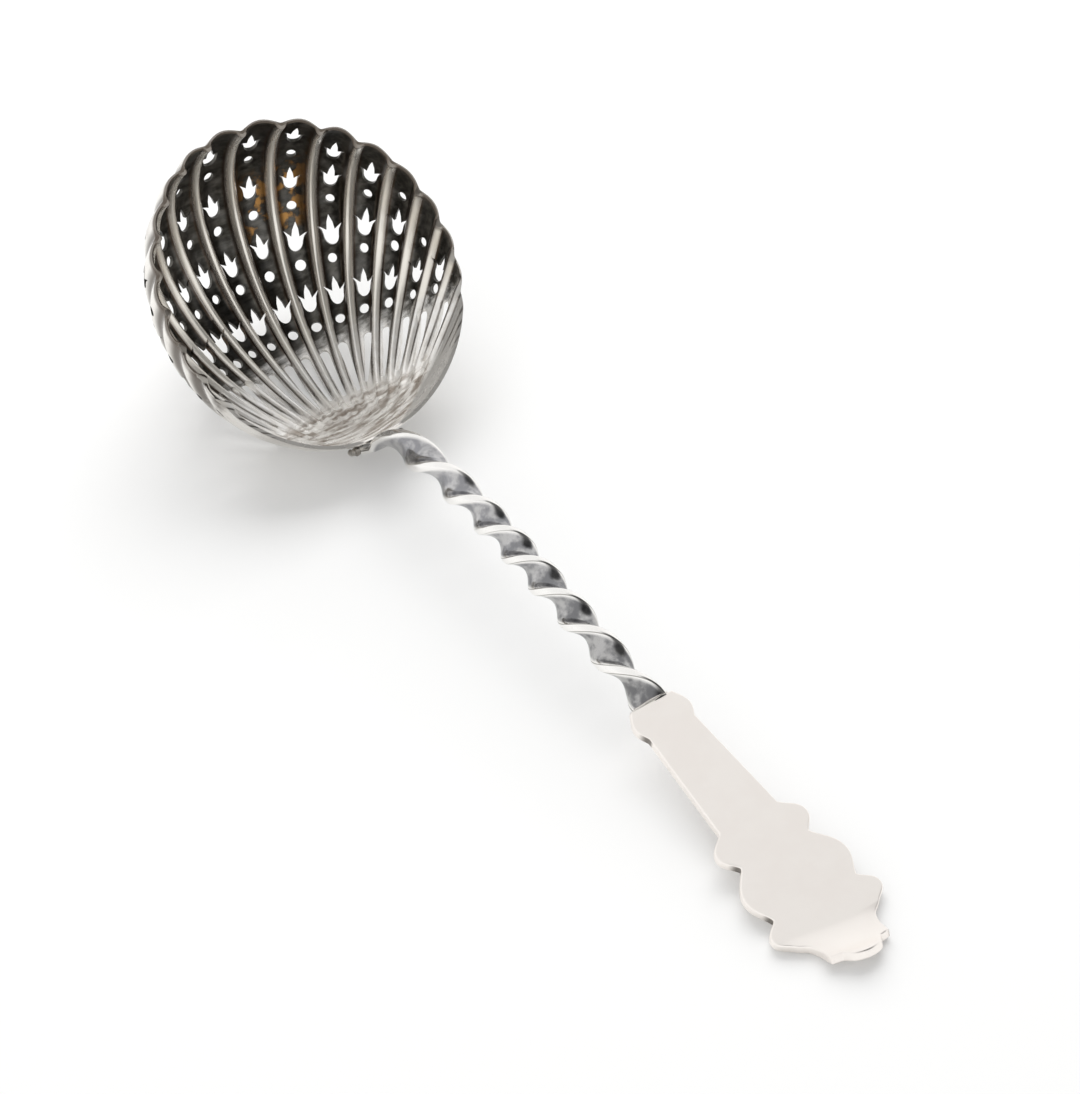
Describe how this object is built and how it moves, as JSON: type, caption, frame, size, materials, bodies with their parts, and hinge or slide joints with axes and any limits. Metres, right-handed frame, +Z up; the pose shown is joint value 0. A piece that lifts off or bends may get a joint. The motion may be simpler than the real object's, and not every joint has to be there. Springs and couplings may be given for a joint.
{
  "type": "sugar sifter spoon",
  "caption": "Silver sugar sifter spoon: a deep scallop-shell bowl pierced with slots, holes and tulips, a twisted arched stem and a flat shaped handle plate with a turned-up end.",
  "frame": {"origin": "middle of the base of the bounding box, on the table that the spoon lies on", "axes": "+Y from the handle to the tip of the bowl, +Z up, +X to the right of someone who looks along +Y"},
  "size_m": [0.0526, 0.1788, 0.0422],
  "materials": {
    "pierced_silver": "worn silver, dark in the flutes",
    "twisted_silver": "polished silver",
    "plate_silver": "satin silver",
    "silver_solder": "dull silver solder"
  },
  "bodies": {
    "root": {"shell_bowl": "pierced_silver", "twisted_stem": "twisted_silver", "handle_plate": "plate_silver", "bowl_solder": "silver_solder", "handle_solder": "silver_solder"}
  },
  "joints": []
}
